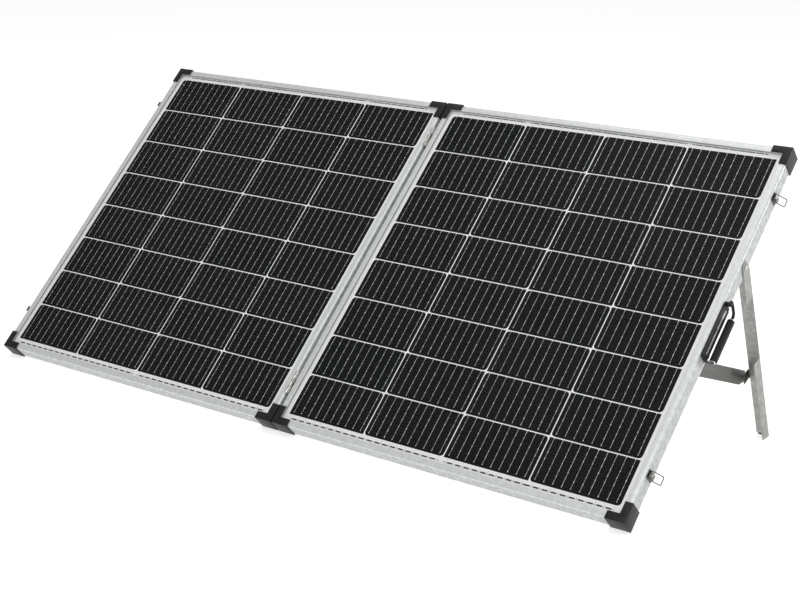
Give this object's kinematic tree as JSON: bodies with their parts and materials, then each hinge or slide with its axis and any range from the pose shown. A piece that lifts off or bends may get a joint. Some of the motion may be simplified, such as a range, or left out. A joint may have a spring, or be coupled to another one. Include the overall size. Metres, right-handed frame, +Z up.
{
  "type": "folding solar panel suitcase",
  "caption": "Folding solar panel kit: glazed cell panels in aluminium frames hinged like a book, with fold-out angle legs, braces, draw latches and a carrying handle.",
  "frame": {"origin": "bottom centre of the bounding box, with the opened kit standing on level ground", "axes": "+X along the panels' lower edge to the right as seen from the glass side, +Y towards the back, where the legs stand, +Z up"},
  "size_m": [1.5918, 0.6174, 0.5687],
  "materials": {
    "anodised_aluminium": "satin silver anodised extrusion",
    "mill_aluminium": "grey mill-finish angle",
    "nickel_steel": "dull nickel plate with bright edges",
    "black_steel": "black painted rod",
    "black_plastic": "black moulded, fine grain",
    "black_rubber": "black, soft sheen",
    "clear_glass": "clear low-iron, faint texture",
    "solar_cells": "near-black cells with fine silver lines on white",
    "white_backsheet": "white film"
  },
  "bodies": {
    "right_panel": {"right_outer_rail": "anodised_aluminium", "right_hinge_side_rail": "anodised_aluminium", "right_bottom_rail": "anodised_aluminium", "right_top_rail": "anodised_aluminium", "right_glass": "clear_glass", "right_cell_sheet": "solar_cells", "right_backsheet": "white_backsheet", "right_bottom_outer_cap": "black_plastic", "right_top_outer_cap": "black_plastic", "right_bottom_inner_cap": "black_plastic", "right_top_inner_cap": "black_plastic", "right_junction_box": "black_plastic", "right_junction_lid": "black_plastic", "right_cable_gland": "black_plastic", "right_leg_bolt": "nickel_steel", "right_brace_bracket": "nickel_steel", "right_brace_pin": "nickel_steel", "lower_hinge_right_leaf": "nickel_steel", "upper_hinge_right_leaf": "nickel_steel", "lower_hinge_pin": "nickel_steel", "upper_hinge_pin": "nickel_steel", "lower_latch_base": "nickel_steel", "upper_latch_base": "nickel_steel", "handle_base": "black_plastic"},
    "left_panel": {"left_outer_rail": "anodised_aluminium", "left_hinge_side_rail": "anodised_aluminium", "left_bottom_rail": "anodised_aluminium", "left_top_rail": "anodised_aluminium", "left_glass": "clear_glass", "left_cell_sheet": "solar_cells", "left_backsheet": "white_backsheet", "left_bottom_outer_cap": "black_plastic", "left_top_outer_cap": "black_plastic", "left_bottom_inner_cap": "black_plastic", "left_top_inner_cap": "black_plastic", "left_junction_box": "black_plastic", "left_junction_lid": "black_plastic", "left_cable_gland": "black_plastic", "left_leg_bolt": "nickel_steel", "left_brace_bracket": "nickel_steel", "left_brace_pin": "nickel_steel", "lower_hinge_left_leaf": "nickel_steel", "upper_hinge_left_leaf": "nickel_steel", "lower_latch_keeper": "nickel_steel", "upper_latch_keeper": "nickel_steel"},
    "right_leg": {"right_leg": "mill_aluminium", "right_leg_foot": "black_rubber", "right_leg_catch": "nickel_steel"},
    "left_leg": {"left_leg": "mill_aluminium", "left_leg_foot": "black_rubber", "left_leg_catch": "nickel_steel"},
    "right_brace": {"right_brace": "mill_aluminium"},
    "left_brace": {"left_brace": "mill_aluminium"},
    "lower_lever": {"lower_latch_lever": "nickel_steel"},
    "upper_lever": {"upper_latch_lever": "nickel_steel"},
    "lower_bail": {"lower_latch_bail": "nickel_steel"},
    "upper_bail": {"upper_latch_bail": "nickel_steel"},
    "handle": {"handle_bail": "black_steel", "handle_grip": "black_rubber"}
  },
  "joints": [
    {"name": "fold_hinge", "type": "hinge", "parent": "right_panel", "child": "left_panel", "pos_m": [-0.00802, -0.30772, 0.02815], "axis": [0, 0.7381, 0.6747], "range_deg": [0, 180]},
    {"name": "right_leg_fold", "type": "hinge", "parent": "right_panel", "child": "right_leg", "pos_m": [0.77448, 0.10714, 0.37689], "axis": [-1, 0, 0], "range_deg": [0, 68.3]},
    {"name": "left_leg_fold", "type": "hinge", "parent": "left_panel", "child": "left_leg", "pos_m": [-0.79052, 0.10714, 0.37689], "axis": [-1, 0, 0], "range_deg": [0, 68.3]},
    {"name": "right_brace_fold", "type": "hinge", "parent": "right_panel", "child": "right_brace", "pos_m": [0.77448, -0.04929, 0.22712], "axis": [1, 0, 0], "range_deg": [0, 63.3]},
    {"name": "left_brace_fold", "type": "hinge", "parent": "left_panel", "child": "left_brace", "pos_m": [-0.79052, -0.04929, 0.22712], "axis": [1, 0, 0], "range_deg": [0, 63.3]},
    {"name": "lower_latch_lift", "type": "hinge", "parent": "right_panel", "child": "lower_lever", "pos_m": [0.77898, -0.22683, 0.08787], "axis": [0, 0.7381, 0.6747], "range_deg": [-100, 0]},
    {"name": "upper_latch_lift", "type": "hinge", "parent": "right_panel", "child": "upper_lever", "pos_m": [0.77898, 0.2116, 0.48863], "axis": [0, 0.7381, 0.6747], "range_deg": [-100, 0]},
    {"name": "lower_bail_swing", "type": "hinge", "parent": "lower_lever", "child": "lower_bail", "pos_m": [0.77898, -0.22413, 0.08492], "axis": [0, -0.7381, -0.6747], "range_deg": [-50, 130]},
    {"name": "upper_bail_swing", "type": "hinge", "parent": "upper_lever", "child": "upper_bail", "pos_m": [0.77898, 0.2143, 0.48568], "axis": [0, -0.7381, -0.6747], "range_deg": [-50, 130]},
    {"name": "handle_swing", "type": "hinge", "parent": "right_panel", "child": "handle", "pos_m": [0.78488, -0.00846, 0.28992], "axis": [0, -0.7381, -0.6747], "range_deg": [0, 110]}
  ],
  "couplings": [
    {"joint": "right_brace_fold", "follows": "right_leg_fold", "ratio": 0.9267},
    {"joint": "left_brace_fold", "follows": "left_leg_fold", "ratio": 0.9267}
  ]
}
